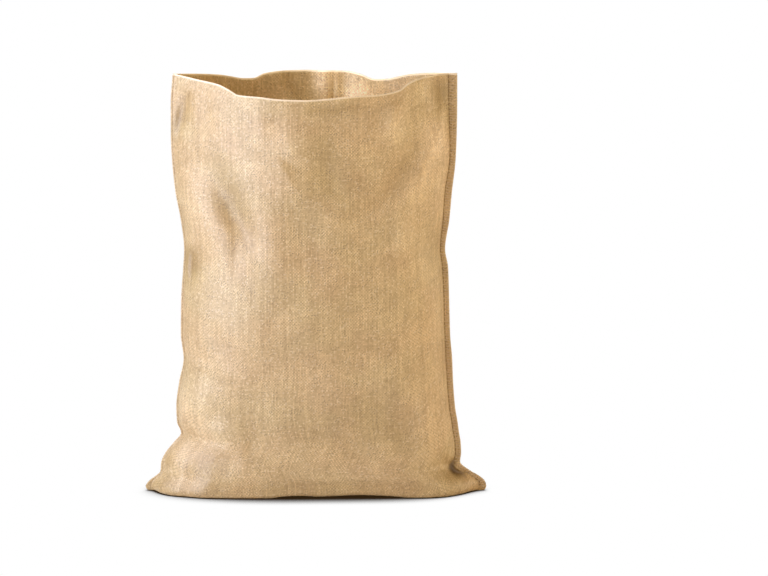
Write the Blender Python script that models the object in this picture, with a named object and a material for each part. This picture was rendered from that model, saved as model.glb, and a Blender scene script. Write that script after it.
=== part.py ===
"""An open burlap sack standing on its sewn base, as one closed solid of jute cloth.

The sack is one rectangle of cloth, folded down the left side (-X) and sewn along the right side
(+X) and across the bottom. Opened and stood up, its mouth is a long lens, its waist is round, and
the two flat bottom corners stick out as ears. +Z is up, the front faces -Y, and the origin is on
the floor under the middle of the sack. All sizes are metres.
"""

import math
from collections import namedtuple

import bmesh
import bpy
from mathutils import Vector

# Cloth and seams
CLOTH = 0.0020            # thickness of one layer
PLY_GAP = 0.0003          # half the air left between two layers that lie flat together
PLY = CLOTH + PLY_GAP     # half the thickness of a doubled edge
TURNED_SEAM = 0.0030      # extra cloth over the bottom seam, which is turned flat under the base

# Standing shape
MOUTH_HEIGHT = 0.820      # the two corners of the mouth
RIM_FADE = 0.500          # height where the waves of the rim die out
BASE_EDGE = 0.006         # radius of the turn from wall to base
EAR_TOP = 0.130           # height where the base outline has become the round body
LIFT_REACH = 0.045        # how far a lifted edge is felt, up the wall and under the base
FLANK_SHARE = 0.12        # share of a wall beside each edge that the troughs leave alone
BOX_MIDDLE = (0.001113, 0.003427, 0.0)   # foot of the sack's box in the tables, moved to the origin

# Mesh density
WALL_COLUMNS = 28         # columns across one wall, from the stitch line to the fold
END_CROWDING = 0.4        # how much closer the columns are at the ends than in the middle
BASE_ROWS = 3             # rows from the edge of the base to its middle
EDGE_ROWS = 3             # steps of the turn from wall to base
MERGE_DECIMALS = 7        # points that agree to this many decimals are one point

# The sack's two side edges and the depth of its walls at each height. Beside each edge a strip of
# doubled cloth, `fold` or `seam` wide, lies flat: the fold's own turn on the left, and the sewn
# allowance on the right. `square` is how full the section is: 2 is an oval, more is boxier.
# `taper` shapes the section's ends: 0.5 is round and 1 is pointed.
Level = namedtuple("Level", "height left right fold seam front back square taper")
LEVELS = (
    Level(0.000, -0.336, 0.336, 0.020, 0.022, 0.088, 0.098, 4.0, 0.80),
    Level(0.010, -0.331, 0.335, 0.012, 0.021, 0.090, 0.100, 4.0, 0.80),
    Level(0.020, -0.320, 0.330, 0.008, 0.020, 0.092, 0.102, 3.8, 0.80),
    Level(0.030, -0.309, 0.318, 0.005, 0.020, 0.094, 0.104, 3.7, 0.80),
    Level(0.040, -0.304, 0.300, 0.004, 0.018, 0.096, 0.105, 3.5, 0.78),
    Level(0.056, -0.301, 0.283, 0.004, 0.012, 0.099, 0.107, 3.3, 0.70),
    Level(0.074, -0.294, 0.285, 0.004, 0.011, 0.102, 0.109, 3.1, 0.63),
    Level(0.095, -0.277, 0.284, 0.004, 0.011, 0.106, 0.112, 2.9, 0.58),
    Level(0.113, -0.263, 0.281, 0.004, 0.011, 0.110, 0.115, 2.8, 0.56),
    Level(0.135, -0.271, 0.278, 0.004, 0.011, 0.114, 0.118, 2.7, 0.54),
    Level(0.165, -0.272, 0.273, 0.004, 0.011, 0.120, 0.122, 2.5, 0.53),
    Level(0.215, -0.266, 0.269, 0.004, 0.011, 0.129, 0.129, 2.4, 0.53),
    Level(0.262, -0.257, 0.267, 0.004, 0.012, 0.136, 0.135, 2.3, 0.53),
    Level(0.310, -0.262, 0.263, 0.004, 0.010, 0.142, 0.141, 2.2, 0.53),
    Level(0.380, -0.261, 0.261, 0.004, 0.010, 0.148, 0.147, 2.2, 0.54),
    Level(0.440, -0.257, 0.259, 0.004, 0.011, 0.151, 0.151, 2.2, 0.55),
    Level(0.476, -0.255, 0.253, 0.004, 0.009, 0.151, 0.152, 2.2, 0.57),
    Level(0.534, -0.261, 0.261, 0.004, 0.012, 0.150, 0.153, 2.2, 0.62),
    Level(0.590, -0.271, 0.266, 0.004, 0.013, 0.149, 0.152, 2.2, 0.70),
    Level(0.652, -0.277, 0.273, 0.004, 0.011, 0.148, 0.151, 2.2, 0.82),
    Level(0.700, -0.279, 0.275, 0.004, 0.013, 0.148, 0.150, 2.3, 0.94),
    Level(0.760, -0.279, 0.276, 0.004, 0.016, 0.150, 0.150, 2.4, 1.08),
    Level(0.820, -0.275, 0.276, 0.004, 0.017, 0.151, 0.150, 2.4, 1.18),
)

# How far each side edge strays forward (-) or back (+) of the sack's middle plane.
Sway = namedtuple("Sway", "height left right")
SWAY = (
    Sway(0.000, 0.000, 0.000),
    Sway(0.060, -0.003, 0.002),
    Sway(0.115, 0.006, 0.005),
    Sway(0.220, 0.002, -0.003),
    Sway(0.330, -0.003, 0.001),
    Sway(0.476, 0.005, 0.006),
    Sway(0.600, -0.002, -0.002),
    Sway(0.720, -0.006, 0.003),
    Sway(0.820, -0.003, 0.006),
)

# Outline of the base on the floor: half its depth, in front of and behind the bottom seam, at a
# share of the way from the middle to an ear's tip (left is -1, right is +1).
Sole = namedtuple("Sole", "across front back")
BASE_OUTLINE = (
    Sole(-1.00, 0.000, 0.000),
    Sole(-0.94, 0.030, 0.022),
    Sole(-0.86, 0.054, 0.046),
    Sole(-0.77, 0.074, 0.070),
    Sole(-0.66, 0.089, 0.088),
    Sole(-0.40, 0.092, 0.100),
    Sole(0.00, 0.088, 0.104),
    Sole(0.40, 0.086, 0.102),
    Sole(0.66, 0.086, 0.092),
    Sole(0.78, 0.076, 0.078),
    Sole(0.88, 0.050, 0.050),
    Sole(0.95, 0.020, 0.022),
    Sole(1.00, 0.000, 0.000),
)

# How far the mouth edge drops below its corners, and how far the edge of the base lifts off the
# floor, across the front wall and the back wall.
Wave = namedtuple("Wave", "across front back")
RIM_DROP = (
    Wave(-1.00, 0.000, 0.000),
    Wave(-0.86, 0.005, 0.004),
    Wave(-0.68, 0.011, 0.011),
    Wave(-0.60, 0.019, 0.016),
    Wave(-0.52, 0.029, 0.021),
    Wave(-0.44, 0.030, 0.022),
    Wave(-0.36, 0.031, 0.014),
    Wave(-0.22, 0.034, 0.010),
    Wave(0.00, 0.035, 0.009),
    Wave(0.26, 0.030, 0.010),
    Wave(0.36, 0.029, 0.015),
    Wave(0.46, 0.029, 0.024),
    Wave(0.56, 0.027, 0.022),
    Wave(0.64, 0.023, 0.016),
    Wave(0.72, 0.010, 0.010),
    Wave(0.80, 0.003, 0.006),
    Wave(0.90, 0.000, 0.002),
    Wave(1.00, 0.000, 0.000),
)
BASE_LIFT = (
    Wave(-1.00, 0.000, 0.000),
    Wave(-0.26, 0.000, 0.000),
    Wave(-0.14, 0.005, 0.002),
    Wave(0.00, 0.001, 0.004),
    Wave(0.08, 0.001, 0.001),
    Wave(0.22, 0.005, 0.000),
    Wave(0.40, 0.003, 0.003),
    Wave(0.60, 0.000, 0.000),
    Wave(1.00, 0.000, 0.000),
)

# Soft troughs pushed into the walls. `lean` turns the trough's length clockwise from upright, seen
# from the front.
Trough = namedtuple("Trough", "wall across height depth half_width half_length lean")
TROUGHS = (
    Trough("front", -0.196, 0.588, 0.0100, 0.026, 0.085, -30),
    Trough("front", -0.250, 0.748, 0.0060, 0.016, 0.040, -10),
    Trough("front", -0.236, 0.470, 0.0080, 0.018, 0.034, 25),
    Trough("front", 0.236, 0.740, 0.0060, 0.016, 0.070, 4),
    Trough("front", 0.232, 0.478, 0.0050, 0.020, 0.040, -35),
    Trough("front", 0.262, 0.052, 0.0140, 0.016, 0.026, -28),
    Trough("front", -0.262, 0.082, 0.0080, 0.018, 0.034, 50),
    Trough("back", 0.180, 0.560, 0.0100, 0.030, 0.090, 28),
    Trough("back", -0.225, 0.470, 0.0080, 0.020, 0.045, -30),
    Trough("back", 0.036, 0.740, 0.0050, 0.014, 0.070, 3),
    Trough("back", -0.250, 0.090, 0.0090, 0.018, 0.036, -45),
    Trough("back", 0.258, 0.060, 0.0100, 0.018, 0.030, 35),
)

# Heights of the wall's rows, closer together where the ears and the waist bend
ROW_HEIGHTS = (
    0.013, 0.021, 0.030, 0.040, 0.052, 0.066, 0.082, 0.098, 0.114, 0.132, 0.158, 0.190,
    0.226, 0.262, 0.300, 0.344, 0.388, 0.424, 0.452, 0.478, 0.506, 0.546, 0.590, 0.634,
    0.678, 0.720, 0.760, 0.794, MOUTH_HEIGHT,
)

SIDE = {"front": -1.0, "back": 1.0}
BURLAP_COLOUR = (0.58, 0.40, 0.23, 1.0)
SHARP_EDGE = math.radians(50.0)


def smooth_step(value, start, end):
    """Rise smoothly from 0 at start to 1 at end."""
    share = min(max((value - start) / (end - start), 0.0), 1.0)
    return share * share * (3.0 - 2.0 * share)


def slope_between(before, here, after, index):
    """A slope at a table's row that never overshoots the rows beside it."""
    rise_in = (here[index] - before[index]) / (here[0] - before[0])
    rise_out = (after[index] - here[index]) / (after[0] - here[0])
    if rise_in * rise_out <= 0.0:
        return 0.0
    return 2.0 * rise_in * rise_out / (rise_in + rise_out)


def read_table(table, value, name):
    """Read a named column at any value of the table's first column, along a smooth curve."""
    index = table[0]._fields.index(name)
    value = min(max(value, table[0][0]), table[-1][0])
    last = len(table) - 1
    row = next(i for i in range(1, len(table)) if value <= table[i][0])
    low, high = table[row - 1], table[row]
    gap = high[0] - low[0]
    share = (value - low[0]) / gap
    chord = (high[index] - low[index]) / gap
    start = slope_between(table[row - 2], low, high, index) if row > 1 else chord
    end = slope_between(low, high, table[row + 1], index) if row < last else chord
    square, cube = share * share, share ** 3
    return ((2.0 * cube - 3.0 * square + 1.0) * low[index]
            + (cube - 2.0 * square + share) * gap * start
            + (3.0 * square - 2.0 * cube) * high[index]
            + (cube - square) * gap * end)


def middle(share, height):
    """Y of the sheet between the two walls, on which the side edges and the seams lie."""
    left = read_table(SWAY, height, "left")
    right = read_table(SWAY, height, "right")
    return left + (right - left) * (share + 1.0) / 2.0


def trough_depth(wall, across, height):
    """How far the troughs push this point of a wall inwards."""
    total = 0.0
    for trough in TROUGHS:
        if trough.wall != wall:
            continue
        lean = math.radians(trough.lean)
        right, up = across - trough.across, height - trough.height
        along = up * math.cos(lean) + right * math.sin(lean)
        aside = right * math.cos(lean) - up * math.sin(lean)
        spread = (aside / trough.half_width) ** 2 + (along / trough.half_length) ** 2
        total += trough.depth * math.exp(-spread)
    return total


def flank_depth(wall, share, height, across):
    """Half the sack's depth beyond the flat strips, at a share of the way across a wall."""
    square = read_table(LEVELS, height, "square")
    taper = read_table(LEVELS, height, "taper")
    body = (1.0 - abs(share) ** square) ** taper
    sole = read_table(BASE_OUTLINE, share, wall) / read_table(BASE_OUTLINE, 0.0, wall)
    outline = sole + (body - sole) * smooth_step(height, 0.0, EAR_TOP)
    depth = read_table(LEVELS, height, wall) * outline
    clear_of_edges = smooth_step(1.0 - abs(share), 0.0, FLANK_SHARE)
    return max(depth - trough_depth(wall, across, height) * clear_of_edges, 0.0)


def outer_point(wall, station, height):
    """A point of a wall's outer face. A station of -1 to 1 crosses the wall from the left strip to
    the stitch line, 2 is the sewn edge, and -2 is the tip of the fold."""
    left = read_table(LEVELS, height, "left")
    right = read_table(LEVELS, height, "right")
    wall_left = left + read_table(LEVELS, height, "fold")
    stitch = right - read_table(LEVELS, height, "seam")
    share = min(max(station, -1.0), 1.0)
    if station > 1.0:
        across = stitch + (right - stitch) * (station - 1.0)
        depth = PLY
    elif station < -1.0:
        turn = math.pi / 2.0 * (-1.0 - station)
        across = left + PLY * (1.0 - math.sin(turn))
        depth = PLY * math.cos(turn)
    else:
        across = wall_left + (stitch - wall_left) * (share + 1.0) / 2.0
        depth = PLY + flank_depth(wall, share, height, across)
    drop = read_table(RIM_DROP, share, wall) * smooth_step(height, RIM_FADE, MOUTH_HEIGHT)
    lift = read_table(BASE_LIFT, share, wall) * smooth_step(LIFT_REACH - height, 0.0, LIFT_REACH)
    return Vector((across, middle(share, height) + SIDE[wall] * depth, height - drop + lift))


def outer_column(wall, station):
    """One column of the outer face, from the mouth down the wall and in to the bottom seam."""
    points = [outer_point(wall, station, height) for height in reversed(ROW_HEIGHTS)]
    foot = outer_point(wall, station, BASE_EDGE)
    seam_line = middle(0.0, 0.0)
    lift = foot.z - BASE_EDGE
    radius = min(BASE_EDGE, 0.5 * abs(foot.y - seam_line))
    for step in range(EDGE_ROWS + 1):
        turn = math.pi / 2.0 * step / EDGE_ROWS
        inward = -SIDE[wall] * radius * (1.0 - math.cos(turn))
        rise = lift + radius * (1.0 - math.sin(turn))
        points.append(Vector((foot.x, foot.y + inward, rise)))
    edge = points[-1].y - seam_line
    for step in range(1, BASE_ROWS + 1):
        rest = 1.0 - step / BASE_ROWS
        under = abs(edge) * (1.0 - rest)
        settled = smooth_step(LIFT_REACH - under, 0.0, LIFT_REACH) if rest else 0.0
        points.append(Vector((foot.x, seam_line + edge * rest, lift * settled)))
    return points


def inner_columns(wall, stations, columns):
    """The inner face of a wall, one cloth thickness inside the outer columns. Its two end columns
    lie between the layers, at the stitch line and at the fold."""
    wall_rows = len(ROW_HEIGHTS)
    last_row = wall_rows + EDGE_ROWS + BASE_ROWS
    last_column = len(columns) - 1
    seam_top = CLOTH + TURNED_SEAM
    inner = []
    for index, column in enumerate(columns):
        points = []
        for row, point in enumerate(column):
            height = ROW_HEIGHTS[-1 - row] if row < wall_rows else 0.0
            between = middle(stations[index], height)
            if index in (0, last_column):
                rise = point.z if row < wall_rows else seam_top
                points.append(Vector((point.x, between, rise)))
                continue
            if row == last_row:
                points.append(Vector((point.x, between, seam_top)))
                continue
            across = columns[index + 1][row] - columns[index - 1][row]
            down = column[row + 1] - column[max(row - 1, 0)]
            outward = -SIDE[wall] * across.cross(down)
            if row == 0:
                outward.z = 0.0
            offset = point - outward.normalized() * CLOTH
            clear = max(SIDE[wall] * (offset.y - between), PLY_GAP)
            offset.y = between + SIDE[wall] * clear
            offset.z = max(offset.z, CLOTH)
            points.append(offset)
        inner.append(points)
    return inner


def add_face(mesh, vertices, points):
    """Add a face through the points. Points at one place share a vertex, and a face that they
    shrink to an edge or a point is left out."""
    corners = []
    for point in points:
        key = tuple(round(value, MERGE_DECIMALS) for value in point)
        if key not in vertices:
            vertices[key] = mesh.verts.new(point)
        if vertices[key] not in corners:
            corners.append(vertices[key])
    if len(corners) > 2:
        mesh.faces.new(corners)


def add_sheet(mesh, vertices, columns):
    """Join neighbouring columns with faces."""
    for near, far in zip(columns, columns[1:]):
        for row in range(len(near) - 1):
            add_face(mesh, vertices, (near[row], far[row], far[row + 1], near[row + 1]))


def column_stations():
    """Stations from the stitch line to the left strip, closer together at both ends."""
    stations = []
    for index in range(WALL_COLUMNS + 1):
        even = 1.0 - 2.0 * index / WALL_COLUMNS
        crowded = math.sin(math.pi / 2.0 * even)
        stations.append(even + (crowded - even) * END_CROWDING)
    return stations


def build_cloth():
    """The whole sack: an outer face, an inner face and the mouth edge that joins them."""
    mesh = bmesh.new()
    vertices = {}
    stations = column_stations()
    front = [outer_column("front", station) for station in stations]
    back = [outer_column("back", station) for station in stations]
    front_inner = inner_columns("front", stations, front)
    back_inner = inner_columns("back", stations, back)

    sewn_front, sewn_back = outer_column("front", 2.0), outer_column("back", 2.0)
    fold_front, fold_back = outer_column("front", -1.5), outer_column("back", -1.5)
    fold_tip = outer_column("front", -2.0)
    ring = [sewn_front, *front, fold_front, fold_tip, fold_back, *back[::-1], sewn_back, sewn_front]
    add_sheet(mesh, vertices, ring)
    add_sheet(mesh, vertices, front_inner + back_inner[-2::-1])

    for outer, inner in ((front, front_inner), (back, back_inner)):
        for index in range(WALL_COLUMNS):
            after = index + 1
            corners = (outer[index][0], inner[index][0], inner[after][0], outer[after][0])
            add_face(mesh, vertices, corners)
    stitch_end, fold_end = front_inner[0][0], front_inner[-1][0]
    add_face(mesh, vertices, (front[0][0], sewn_front[0], sewn_back[0], back[0][0], stitch_end))
    turned = (fold_front[0], fold_tip[0], fold_back[0])
    add_face(mesh, vertices, (front[-1][0], *turned, back[-1][0], fold_end))
    bmesh.ops.recalc_face_normals(mesh, faces=mesh.faces)
    bmesh.ops.translate(mesh, verts=mesh.verts, vec=-Vector(BOX_MIDDLE))
    return mesh


def burlap_material():
    """Plain raw jute: tan, dry and dull."""
    material = bpy.data.materials.new("burlap")
    material.use_nodes = True
    shader = material.node_tree.nodes["Principled BSDF"]
    shader.inputs["Base Color"].default_value = BURLAP_COLOUR
    shader.inputs["Roughness"].default_value = 0.95
    shader.inputs["Metallic"].default_value = 0.0
    return material


def main():
    """Clear the scene and make the sack."""
    for item in list(bpy.data.objects):
        bpy.data.objects.remove(item, do_unlink=True)
    cloth = build_cloth()
    data = bpy.data.meshes.new("bag_cloth")
    cloth.to_mesh(data)
    cloth.free()
    data.shade_smooth()
    data.set_sharp_from_angle(angle=SHARP_EDGE)
    data.materials.append(burlap_material())
    sack = bpy.data.objects.new("bag_cloth", data)
    bpy.context.scene.collection.objects.link(sack)


main()
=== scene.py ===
"""The looks of the burlap sack: cloth with its folds, weave and stitches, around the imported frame.

The cloth is one cut rectangle of jute. It is folded down the left side (-X), sewn through both
layers down the right side (+X) and across the bottom, opened and stood on a pale studio floor.
Lengths are metres, and millimetres in the tables. +Z is up and the front faces -Y. Tables and walls
are in the sack's own frame, in which the middle of the part's box lies at BOX_MIDDLE.
"""

import math
from collections import namedtuple

import bpy
import numpy as np
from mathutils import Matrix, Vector


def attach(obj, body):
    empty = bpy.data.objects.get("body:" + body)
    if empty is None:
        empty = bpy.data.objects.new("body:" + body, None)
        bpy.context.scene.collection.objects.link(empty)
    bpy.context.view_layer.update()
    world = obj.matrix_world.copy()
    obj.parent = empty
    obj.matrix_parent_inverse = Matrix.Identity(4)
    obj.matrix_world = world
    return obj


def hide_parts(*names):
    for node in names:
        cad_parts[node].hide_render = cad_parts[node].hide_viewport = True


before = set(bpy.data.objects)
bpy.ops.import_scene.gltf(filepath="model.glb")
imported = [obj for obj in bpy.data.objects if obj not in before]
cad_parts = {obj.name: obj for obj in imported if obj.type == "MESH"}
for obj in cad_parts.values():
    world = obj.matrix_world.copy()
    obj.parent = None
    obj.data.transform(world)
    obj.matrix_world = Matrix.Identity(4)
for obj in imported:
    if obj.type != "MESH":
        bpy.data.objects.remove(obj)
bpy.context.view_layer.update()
scene = bpy.context.scene

# ---- Sizes of the cloth. They are the CAD source's, apart from the ears and the base below 60 mm,
# ---- the first fold and the finer creases.

CLOTH_WIDTH = 1.32  # the cut rectangle, before it is folded in half
CLOTH_HEIGHT = 1.016
CLOTH = 0.0020  # thickness of one layer
PLY_GAP = 0.0003  # half the air left between two layers that lie flat together
PLY = CLOTH + PLY_GAP  # half the thickness of a doubled edge
MOUTH_HEIGHT = 0.820
RIM_FADE = 0.500  # the waves of the mouth's edge fade out down to this height
EAR_TOP = 0.130  # the walls take on the outline of the base below this height
LIFT_REACH = 0.045  # how far the lift of the base's edge reaches, up the wall and inwards
FLANK_SHARE = 0.12  # share of a half wall over which folds die out at its edge
CREASE_SHARE = 0.06  # the same for creases
LEAST_SHARE = 0.15  # least share of its depth that a folded wall keeps
BOX_MIDDLE = np.array((0.001113, 0.003427, 0.0))
MM = 1000.0  # tables give lengths in millimetres, which are divided by this


def table(fields, plain, rows):
    """A table's rows with named columns, in metres. The plain columns are no lengths."""
    row_type = namedtuple("Row", fields)
    units = [1.0 if name in plain.split() else MM for name in row_type._fields]
    return [row_type(*(value / unit for value, unit in zip(row, units))) for row in rows]


# The sack's two side edges and the depth of its walls at each height. Beside each edge a strip of
# doubled cloth, `fold` or `seam` wide, lies flat. `square` is how full the section is: 2 is an
# oval, more is boxier. `taper` shapes the section's ends: 0.5 is round and 1 is pointed.
LEVELS = table("height left right fold seam front back square taper", "square taper", (
    (0, -331, 331, 20, 13, 88, 98, 4.0, 0.80),
    (8, -333, 334.5, 13, 13, 90, 100, 4.0, 0.80),
    (14, -330, 333.5, 10, 13, 91, 101, 3.9, 0.80),
    (21, -323.5, 329, 8, 13, 92, 102, 3.8, 0.80),
    (30, -311, 317, 5, 12.5, 94, 104, 3.7, 0.80),
    (38, -303.5, 303, 4, 12, 96, 105, 3.5, 0.78),
    (56, -302, 283, 4, 11.5, 99, 107, 3.3, 0.70),
    (74, -294, 285, 4, 11, 102, 109, 3.1, 0.63),
    (95, -277, 284, 4, 11, 106, 112, 2.9, 0.58),
    (113, -263, 281, 4, 11, 110, 115, 2.8, 0.56),
    (135, -271, 278, 4, 11, 114, 118, 2.7, 0.54),
    (165, -272, 273, 4, 11, 120, 122, 2.5, 0.53),
    (215, -266, 269, 4, 11, 129, 129, 2.4, 0.53),
    (262, -257, 267, 4, 12, 136, 135, 2.3, 0.53),
    (310, -262, 263, 4, 10, 142, 141, 2.2, 0.53),
    (380, -261, 261, 4, 10, 148, 147, 2.2, 0.54),
    (440, -257, 259, 4, 11, 151, 151, 2.2, 0.55),
    (476, -255, 253, 4, 9, 151, 152, 2.2, 0.57),
    (534, -261, 261, 4, 12, 150, 153, 2.2, 0.62),
    (590, -271, 266, 4, 13, 149, 152, 2.2, 0.70),
    (652, -277, 273, 4, 11, 148, 151, 2.2, 0.82),
    (700, -279, 275, 4, 13, 148, 150, 2.3, 0.94),
    (760, -279, 276, 4, 16, 150, 150, 2.4, 1.08),
    (820, -275, 276, 4, 17, 151, 150, 2.4, 1.18),
))

# How far each side edge strays forward (-) or back (+) of the sack's middle plane.
SWAY = table("height left right", "", (
    (0, 0, 0), (60, -3, 2), (115, 6, 5), (220, 2, -3), (330, -3, 1), (476, 5, 6), (600, -2, -2),
    (720, -6, 3), (820, -3, 6),
))

# Outline of the base on the floor: half its depth, in front of and behind the bottom seam, at a
# share of the way from the middle to an ear's tip (left is -1, right is +1).
BASE_OUTLINE = table("across front back", "across", (
    (-1.00, 0, 0), (-0.94, 39, 22), (-0.86, 62, 46), (-0.77, 74, 70), (-0.66, 89, 88),
    (-0.40, 92, 100), (0.00, 88, 104), (0.40, 86, 102), (0.66, 86, 92), (0.78, 76, 78),
    (0.88, 50, 50), (0.95, 20, 22), (1.00, 0, 0),
))

# How far the mouth's edge drops below its corners, and how far the edge of the base lifts off the
# floor, across the front wall and the back wall.
RIM_DROP = table("across front back", "across", (
    (-1.00, 0, 0), (-0.86, 5, 4), (-0.68, 11, 11), (-0.60, 19, 16), (-0.52, 29, 21),
    (-0.44, 30, 22), (-0.36, 31, 14), (-0.22, 34, 10), (0.00, 35, 9), (0.26, 30, 10),
    (0.36, 29, 15), (0.46, 29, 24), (0.56, 27, 22), (0.64, 23, 16), (0.72, 10, 10), (0.80, 3, 6),
    (0.90, 0, 2), (1.00, 0, 0),
))
BASE_LIFT = table("across front back", "across", (
    (-1.00, 0, 0), (-0.28, 0, 0), (-0.18, 4, 2), (-0.08, 5, 3), (0.02, 3, 4), (0.10, 4, 1),
    (0.26, 6, 0), (0.44, 4, 3), (0.60, 0, 0), (1.00, 0, 0),
))

# Folds in the walls. A positive depth is a trough pushed inwards, a negative one a ridge. `lean`
# turns a fold's length clockwise from upright, seen from the front.
FOLDS = {wall: table("across height depth half_width half_length lean", "lean", rows) for wall, rows in {
    "front": (
        (-153, 560, 10, 26, 85, -30), (-250, 748, 6, 16, 40, -10), (-236, 470, 8, 18, 34, 25),
        (236, 740, 6, 16, 70, 4), (232, 478, 5, 20, 40, -35), (262, 52, 14, 16, 26, -28),
        (-262, 82, 8, 18, 34, 50),
    ),
    "back": (
        (180, 560, 10, 30, 90, 28), (-225, 470, 8, 20, 45, -30), (36, 740, 5, 14, 70, 3),
        (-250, 90, 9, 18, 36, -45), (258, 60, 10, 18, 30, 35),
    ),
}.items()}

# Finer creases that wander and fade at both ends. Each row has a crease's depth and half width, and
# then across and height for each point that it runs through, all in millimetres.
FRONT_CREASES = (
    (19, 11, -240, 800, -247, 772, -254, 748, -266, 722, -272, 695, -274, 670),
    (3.8, 17.4, -212, 801, -207, 751, -221, 693),
    (11.5, 29, -196, 685, -176, 628, -156, 576, -140, 524, -132, 466),
    (-3.4, 28.8, -136, 740, -116, 671, -108, 598),
    (-7.3, 22.6, -250, 651, -238, 594, -219, 530, -212, 469),
    (-11.4, 53.3, -34, 816, -27, 735, -37, 655, -57, 580),
    (8.3, 34.2, 34, 818, 22, 746, 26, 673, 45, 598),
    (-2.1, 19.2, 112, 801, 104, 749, 94, 688),
    (-10.7, 18.1, 156, 803, 152, 757, 138, 706),
    (8.8, 20, 208, 744, 192, 692, 165, 648, 138, 602, 101, 575, 46, 568),
    (-7, 14.4, 236, 753, 236, 701, 216, 649, 188, 594, 156, 540),
    (20, 16.5, 222, 820, 242, 793, 254, 762),
    (13, 7.5, 257, 772, 262, 728, 262, 684),
    (12.9, 16, 244, 561, 237, 510, 237, 462, 242, 414),
    (22, 13, -252, 492, -241, 467, -241, 437, -251, 402),
    (-3.8, 21.8, -222, 276, -163, 254, -97, 222),
    (-2.7, 9, -249, 293, -239, 270, -216, 258, -192, 249),
    (-7.6, 27.1, -235, 243, -231, 189, -227, 142),
    (-8.5, 28, -239, 120, -191, 120, -124, 116),
    (10.8, 25.1, -260, 67, -209, 69, -139, 65),
    (5.2, 61.8, 46, 203, 52, 141, 45, 70),
    (-1, 13.8, 158, 337, 159, 273, 166, 201),
    (8.7, 9.2, 245, 314, 248, 260, 248, 206),
    (-4.6, 18, 224, 209, 211, 154, 198, 88),
    (5.3, 24.9, 174, 185, 165, 135, 149, 80),
    (-3.1, 10.8, 251, 167, 257, 122, 257, 78),
    (95, 4.6, 278, 66, 270, 57, 268, 47, 274, 38, 287, 35, 302, 34),
    (9, 12, 272, 62, 266, 48, 274, 34),
    (-28, 6.2, 281, 60, 288, 53, 298, 46),
    (1.8, 7.3, 222, 45, 242, 26, 268, 13),
    (3, 7.4, -230, 21, -125, 24, 10, 25, 147, 24, 237, 22),
    (-1.4, 7, -149, 815, -63, 815, 31, 812, 146, 809),
    (7.1, 20.7, -17, 804, 52, 796, 152, 792),
    (2.1, 12.8, -5, 689, 22, 664, 57, 649),
    (6.6, 28.2, -52, 663, -36, 673, -26, 697),
    (-14.2, 30, 231, 753, 239, 708, 235, 650),
    (-7.4, 15.7, 153, 571, 169, 519, 165, 477),
    (3.3, 13.8, -155, 520, -151, 469, -155, 434),
    (3.5, 12, -269, 786, -263, 747, -270, 701),
    (-2.6, 8.1, -317, 7, -283, 5, -223, 10),
    (-5.6, 5.1, 284, 43, 303, 29, 314, 15),
    (3.6, 18.1, 172, 56, 213, 38, 242, 20),
    (3.5, 6.3, 246, 531, 242, 488, 245, 451),
    (-3.4, 5.9, 255, 622, 250, 582, 245, 549),
    (2.1, 21.1, -16, 664, 17, 639, 56, 620),
    (6.5, 15, 79, 592, 44, 603, 14, 624),
    (1.8, 15, -15, 806, 17, 794, 48, 774),
    (9.6, 39.3, 118, 228, 126, 170, 133, 110),
    (3.1, 14.9, -205, 351, -190, 318, -166, 288),
    (1.8, 8.1, 245, 408, 250, 340, 249, 282),
    (-6.8, 11, -254, 237, -264, 179, -262, 128),
    (-2.5, 19.5, -96, 813, -104, 762, -93, 710),
    (4.9, 20.3, -259, 42, -219, 37, -161, 33),
    (-1.8, 14.6, 172, 760, 160, 721, 133, 687),
    (2, 12.9, 223, 581, 212, 520, 219, 445),
    (3.4, 16.3, 204, 405, 213, 346, 204, 289),
    (7.4, 5, -298, 52, -288, 61, -278, 74),
    (5, 36, -85, 705, -10, 660, 60, 620, 140, 600),
    (-5, 16, 206, 770, 222, 745, 226, 705),
)
BACK_CREASES = (
    (-7, 4, 31, 850, 32, 780, 31, 720, 35, 650),
    (18, 42, 88, 880, 92, 780, 86, 700, 74, 600),
    (-6, 14, -58, 835, -48, 780, -34, 730),
    (13, 20, 16, 860, 20, 790, 16, 720),
    (9, 18, 236, 700, 214, 640, 196, 580, 190, 500),
    (-6, 26, -120, 740, -100, 640, -110, 540),
    (8, 16, -240, 560, -205, 500, -190, 430),
    (5, 15, -100, 240, -30, 200, 60, 210),
    (-6, 24, 120, 380, 150, 300, 140, 200),
    (6, 12, 262, 300, 236, 262, 200, 236),
    (6, 11, -270, 128, -236, 120, -196, 94),
)
CREASE_STEPS = 24  # straight steps that each crease is followed in
SHOULDER = 0.3  # a crease's profile: how low its shoulders lie and how soon they end
SHOULDER_END = 0.6

# Painted shade besides that of the creases, given as the depth of a crease whose painted shade is
# as dark: the valley beside the side seam, half a fold's depth, and the foot, painted darker low down.
SEAM_VALLEY_SHADE = 0.010
FOLD_SHADE_SHARE = 0.5
FOOT_SHADE = 0.010
FOOT_SHADE_TOP = 0.045
FOOT_SHADE_FADE = 0.75 * FOOT_SHADE_TOP  # height over which the painted shade of the foot ends, below its top
INNER_SHADE_CONTRAST = 2.0  # how much stronger the painted crease shade is on the inner face

# Unevenness of the walls: height, seed and number of the waves, the shortest and the longest, and
# how much longer they are up the cloth than across it.
Swell = namedtuple("Swell", "height seed count shortest longest upright")
SWELLS = (Swell(0.0009, 11, 26, 0.10, 0.24, 1.8), Swell(0.00012, 12, 30, 0.022, 0.05, 1.3))
SWELL_SHARE = 0.10  # share of a half wall over which they die out at its edge
SWELL_FOOT = (0.004, 0.060)  # heights between which they die out at the foot

# The yarns keep between these shares of their flat pitch in the middle of a wall, and their lie is
# smoothed with bells of this many rows and columns.
YARN_CROWDING = (0.8, 1.25)
YARN_BLUR = (10.0, 5.0)
CUT_ROUND = 0.35  # how far a cut edge bulges out, in thicknesses
PINCHED = 1e-9  # cells of the grid that are smaller than this, in square metres, face no way

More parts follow.
